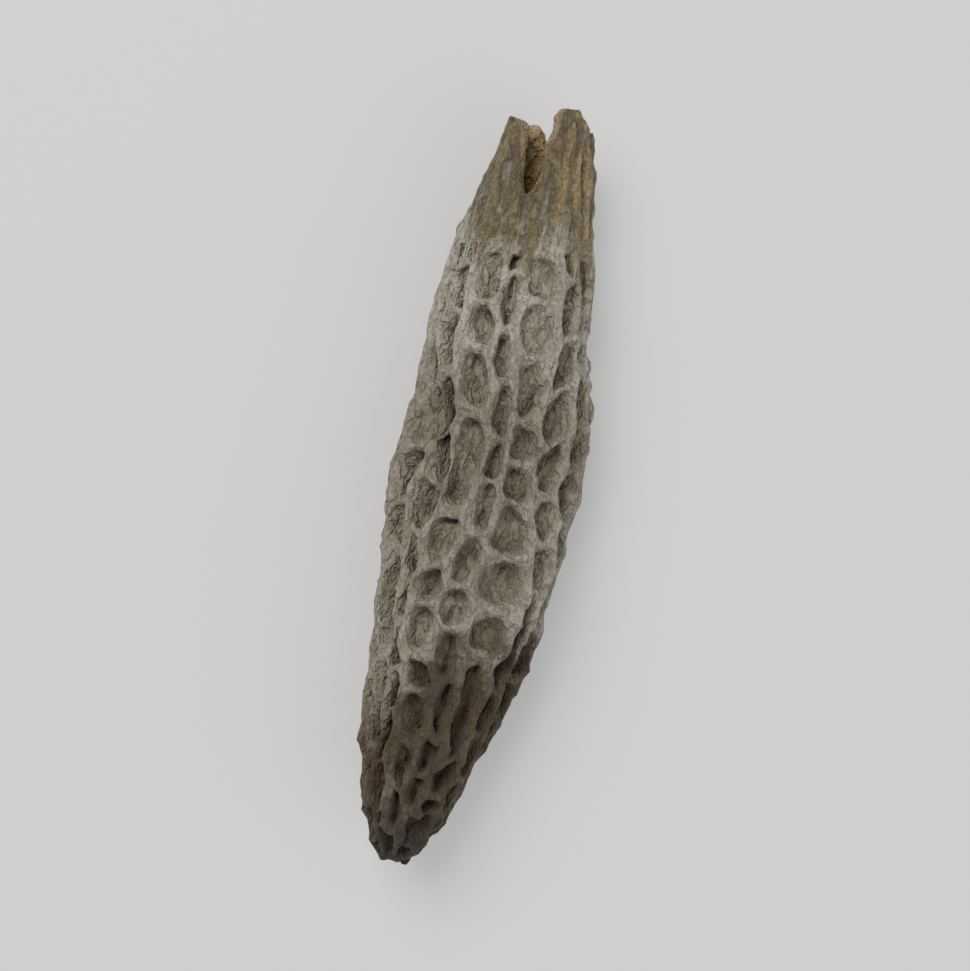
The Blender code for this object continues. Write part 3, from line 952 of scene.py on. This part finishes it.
def add_shade_and_soil(n, bare_colour, from_crack):
    """A colour with painted shade in its cracks and in the pinched crease, soil in specks, and a fine
    grain.
    """
    # Painted shade along the cracks of the papery relief
    shade_soil_colour = n.blend(n.ramp(from_crack, 0.0, 0.035, 0.4, 0.0), bare_colour, SOIL_AND_SHADE)
    # Painted shade along the bottom of the pinched crease
    shade_soil_colour = n.blend(n.ramp(n.attribute("pinch"), 0.1, 0.8, 0.0, 0.7), shade_soil_colour, SOIL_AND_SHADE)
    specks = n.ramp(n.cloud(SPECK_SIZE, 1.0), 0.66, 0.72)
    shade_soil_colour = n.blend(n.maths("MULTIPLY", specks, n.ramp(n.patches, 0.4, 0.6, 0.2, 0.8)), shade_soil_colour, SOIL_AND_SHADE)
    grainy = n.add("ShaderNodeHueSaturation")
    n.join(shade_soil_colour, grainy.inputs["Color"])
    n.join(n.ramp(n.cloud(GRAIN_SIZE, 5.0), 0.3, 0.7, 0.78, 1.2), grainy.inputs["Value"])
    return grainy.outputs["Color"]


# %% Paint the skin
CRACK_SIZE = 0.45 * MM
PAPER_SIZE = 0.12 * MM
RELIEF = 0.14 * MM


def dried_skin():
    """The whole skin: its colours, how matt it is, and a relief too fine for the mesh."""
    n = Skin("dried_skin")
    ripples = n.cloud(CRACK_SIZE, 3.0, stretch=(1, 2.2, 1))
    from_crack = n.maths("ABSOLUTE", n.maths("SUBTRACT", ripples, 0.5), 0.0)
    bare_colour = with_stem(n, with_brown_tip(n, cap_colour(n)))
    n.join(add_shade_and_soil(n, bare_colour, from_crack), n.shader.inputs["Base Color"])
    n.join(n.ramp(n.mottle, 0.3, 0.7, 0.68, 0.92), n.shader.inputs["Roughness"])
    n.shader.inputs["Specular IOR Level"].default_value = 0.35
    n.shader.inputs["Sheen Weight"].default_value = 0.07
    fine = n.add("ShaderNodeBump")
    fine.inputs["Strength"].default_value = 0.9
    fine.inputs["Distance"].default_value = RELIEF
    papery = n.maths("ADD", n.ramp(from_crack, 0.0, 0.09), n.cloud(PAPER_SIZE, 6.0))
    relief = n.maths("ADD", papery, n.maths("MULTIPLY", n.fibres, n.stem))
    n.join(relief, fine.inputs["Height"])
    n.join(fine.outputs["Normal"], n.shader.inputs["Normal"])
    print("the skin's material has", len(n.tree.nodes), "nodes")
    return n.material


skin.data.materials.clear()
skin.data.materials.append(dried_skin())

# %% [markdown]
# ## The table, the light and the camera
#
# The mushroom lies on a plain pale surface. One large soft light from the upper left draws the net's
# relief, and a weaker one from the right keeps its shadows open. The camera looks straight down and
# is rolled, so that the stem points up and leans to the right.

# %% The table
bm = bmesh.new()
bmesh.ops.create_grid(bm, x_segments=1, y_segments=1, size=0.6)
table_mesh = bpy.data.meshes.new("table")
bm.to_mesh(table_mesh)
bm.free()
table = bpy.data.objects.new("table", table_mesh)
bpy.context.scene.collection.objects.link(table)
paper = Nodes("pale_paper")
paper.shader.inputs["Base Color"].default_value = (0.72, 0.71, 0.69, 1.0)
paper.shader.inputs["Roughness"].default_value = 0.9
table.data.materials.append(paper.material)


# %% The lights
def soft_light(name, place, size, watts, tint):
    """A square area light that faces the mushroom."""
    light = bpy.data.lights.new(name, "AREA")
    light.size = size
    light.energy = watts
    light.color = tint
    lamp = bpy.data.objects.new(name, light)
    lamp.location = place
    lamp.rotation_euler = (-Vector(place)).to_track_quat("-Z", "Y").to_euler()
    bpy.context.scene.collection.objects.link(lamp)


soft_light("window", (-0.18, 0.20, 0.40), 0.30, 3.0, (1.0, 0.985, 0.96))
soft_light("fill", (0.30, -0.14, 0.30), 0.40, 1.3, (0.98, 0.98, 1.0))
world = bpy.data.worlds.new("room")
bpy.context.scene.world = world
world.use_nodes = True
world.node_tree.nodes["Background"].inputs["Color"].default_value = (0.95, 0.96, 1.0, 1.0)
world.node_tree.nodes["Background"].inputs["Strength"].default_value = 0.72

# %% The camera
LEAN = 11.5
LENS = 110.0
SENSOR = 36.0
IN_VIEW = 45 * MM

lens = bpy.data.cameras.new("camera")
lens.lens = LENS
lens.sensor_width = SENSOR
lens.clip_start = 0.005
camera = bpy.data.objects.new("camera", lens)
camera.location = (0, 0, 0.5 * solid_box[1][2] + IN_VIEW * LENS / SENSOR)
camera.rotation_euler = (0, 0, math.radians(LEAN))
bpy.context.scene.collection.objects.link(camera)
bpy.context.scene.camera = camera
print("the camera is", round(camera.location.z / MM), "mm above the table")
